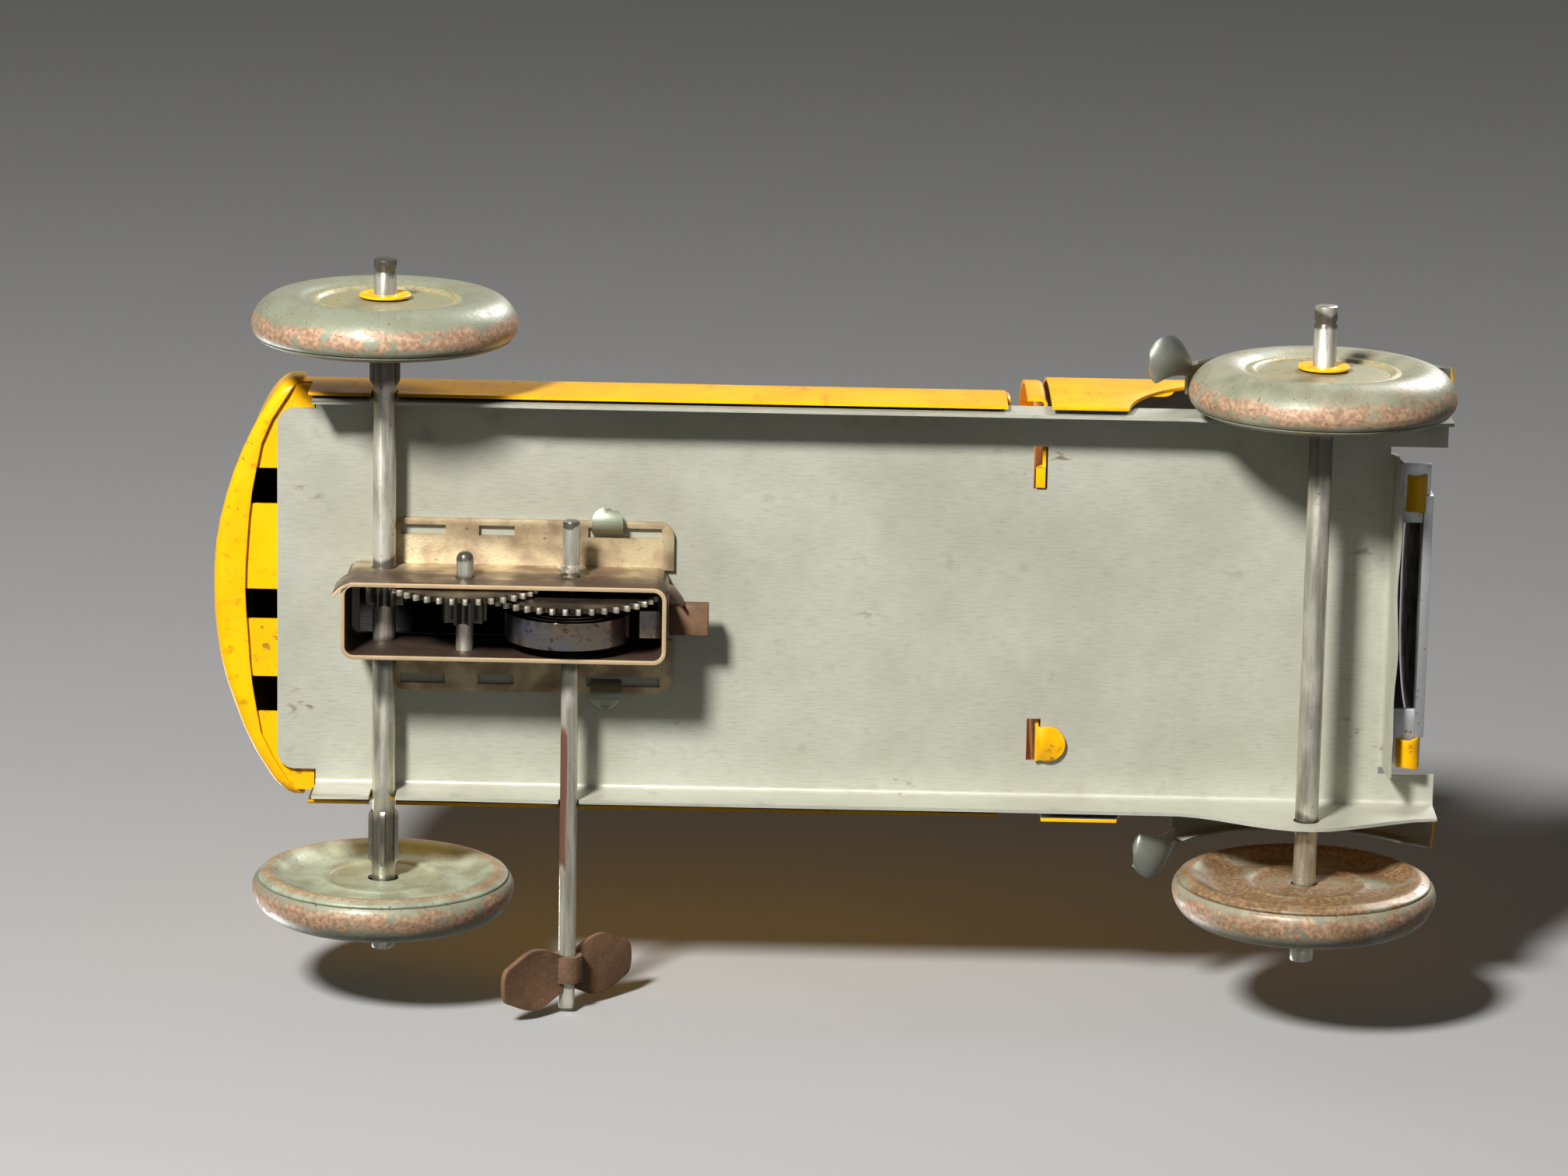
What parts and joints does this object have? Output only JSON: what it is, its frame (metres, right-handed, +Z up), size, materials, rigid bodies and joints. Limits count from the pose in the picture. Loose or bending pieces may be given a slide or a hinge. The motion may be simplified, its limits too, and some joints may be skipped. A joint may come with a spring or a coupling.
{
  "type": "clockwork toy tanker truck",
  "caption": "Pressed tinplate toy tanker truck with a clockwork motor geared to its rear axle, a side winding key and free front wheels.",
  "frame": {"origin": "on the floor under the middle of the truck's box, between the four wheels", "axes": "+X towards the radiator, +Y to the truck's left, where the winding key is, +Z up"},
  "size_m": [0.217, 0.1322, 0.0878],
  "materials": {
    "yellow_enamel": "glossy baked enamel, chipped and soiled",
    "bare_tinplate": "bare rolled tinplate, dulled, with fine lengthways grain",
    "silver_enamel": "silver lacquer, worn",
    "wheel_enamel": "thin grey green paint, rusted along the tread",
    "washer_tin": "lacquered offcut tin, worn",
    "axle_steel": "drawn steel wire, tarnished",
    "motor_steel": "tarnished brassed steel strip",
    "gear_brass": "tarnished stamped brass",
    "spring_steel": "blued spring steel, oily",
    "rusty_steel": "brown rust"
  },
  "bodies": {
    "chassis": {"base_plate": "bare_tinplate", "tank_shell": "yellow_enamel", "tank_rear_cap": "yellow_enamel", "tank_front_cap": "yellow_enamel", "filler_cap_1": "yellow_enamel", "filler_cap_2": "yellow_enamel", "filler_cap_3": "yellow_enamel", "cab_back": "yellow_enamel", "cab_shell": "yellow_enamel", "bonnet": "yellow_enamel", "radiator_grille": "silver_enamel", "right_wing": "yellow_enamel", "left_wing": "yellow_enamel", "right_headlamp": "silver_enamel", "left_headlamp": "silver_enamel", "motor_frame": "motor_steel", "spring_anchor": "rusty_steel", "mainspring": "spring_steel"},
    "rear_axle_set": {"rear_axle": "axle_steel", "axle_pinion": "axle_steel", "rear_right_wheel_outer": "wheel_enamel", "rear_right_wheel_inner": "wheel_enamel", "rear_left_wheel_outer": "wheel_enamel", "rear_left_wheel_inner": "wheel_enamel", "rear_right_washer": "washer_tin", "rear_left_washer": "washer_tin"},
    "second_shaft_set": {"second_shaft": "axle_steel", "second_gear": "gear_brass", "second_pinion": "axle_steel"},
    "great_wheel_set": {"great_wheel": "gear_brass", "click": "axle_steel", "click_spring": "spring_steel"},
    "key_set": {"winding_arbor": "axle_steel", "ratchet_wheel": "axle_steel", "winding_key": "rusty_steel"},
    "front_axle_set": {"front_axle": "axle_steel", "front_right_washer": "washer_tin", "front_left_washer": "washer_tin"},
    "front_right_wheel": {"front_right_wheel_outer": "wheel_enamel", "front_right_wheel_inner": "wheel_enamel"},
    "front_left_wheel": {"front_left_wheel_outer": "wheel_enamel", "front_left_wheel_inner": "wheel_enamel"}
  },
  "joints": [
    {"name": "rear_axle_spin", "type": "hinge", "parent": "chassis", "child": "rear_axle_set", "pos_m": [-0.07565, -0.0064, 0.02297], "axis": [0, 1, 0], "continuous": true},
    {"name": "second_shaft_spin", "type": "hinge", "parent": "chassis", "child": "second_shaft_set", "pos_m": [-0.06096, -0.0064, 0.01705], "axis": [0, 1, 0], "continuous": true},
    {"name": "great_wheel_spin", "type": "hinge", "parent": "chassis", "child": "great_wheel_set", "pos_m": [-0.04289, -0.0064, 0.0203], "axis": [0, 1, 0], "continuous": true},
    {"name": "key_wind", "type": "hinge", "parent": "great_wheel_set", "child": "key_set", "pos_m": [-0.04289, -0.0064, 0.0203], "axis": [0, 1, 0], "range_deg": [-1800, 0]},
    {"name": "front_axle_spin", "type": "hinge", "parent": "chassis", "child": "front_axle_set", "pos_m": [0.08552, -0.0064, 0.02298], "axis": [0, 1, 0], "continuous": true},
    {"name": "front_right_wheel_spin", "type": "hinge", "parent": "front_axle_set", "child": "front_right_wheel", "pos_m": [0.08552, -0.048, 0.02298], "axis": [0, 1, 0], "continuous": true},
    {"name": "front_left_wheel_spin", "type": "hinge", "parent": "front_axle_set", "child": "front_left_wheel", "pos_m": [0.08552, 0.0423, 0.02298], "axis": [0, 1, 0], "continuous": true}
  ],
  "couplings": [
    {"joint": "second_shaft_spin", "follows": "rear_axle_spin", "ratio": -0.25714},
    {"joint": "great_wheel_spin", "follows": "rear_axle_spin", "ratio": 0.055102}
  ]
}
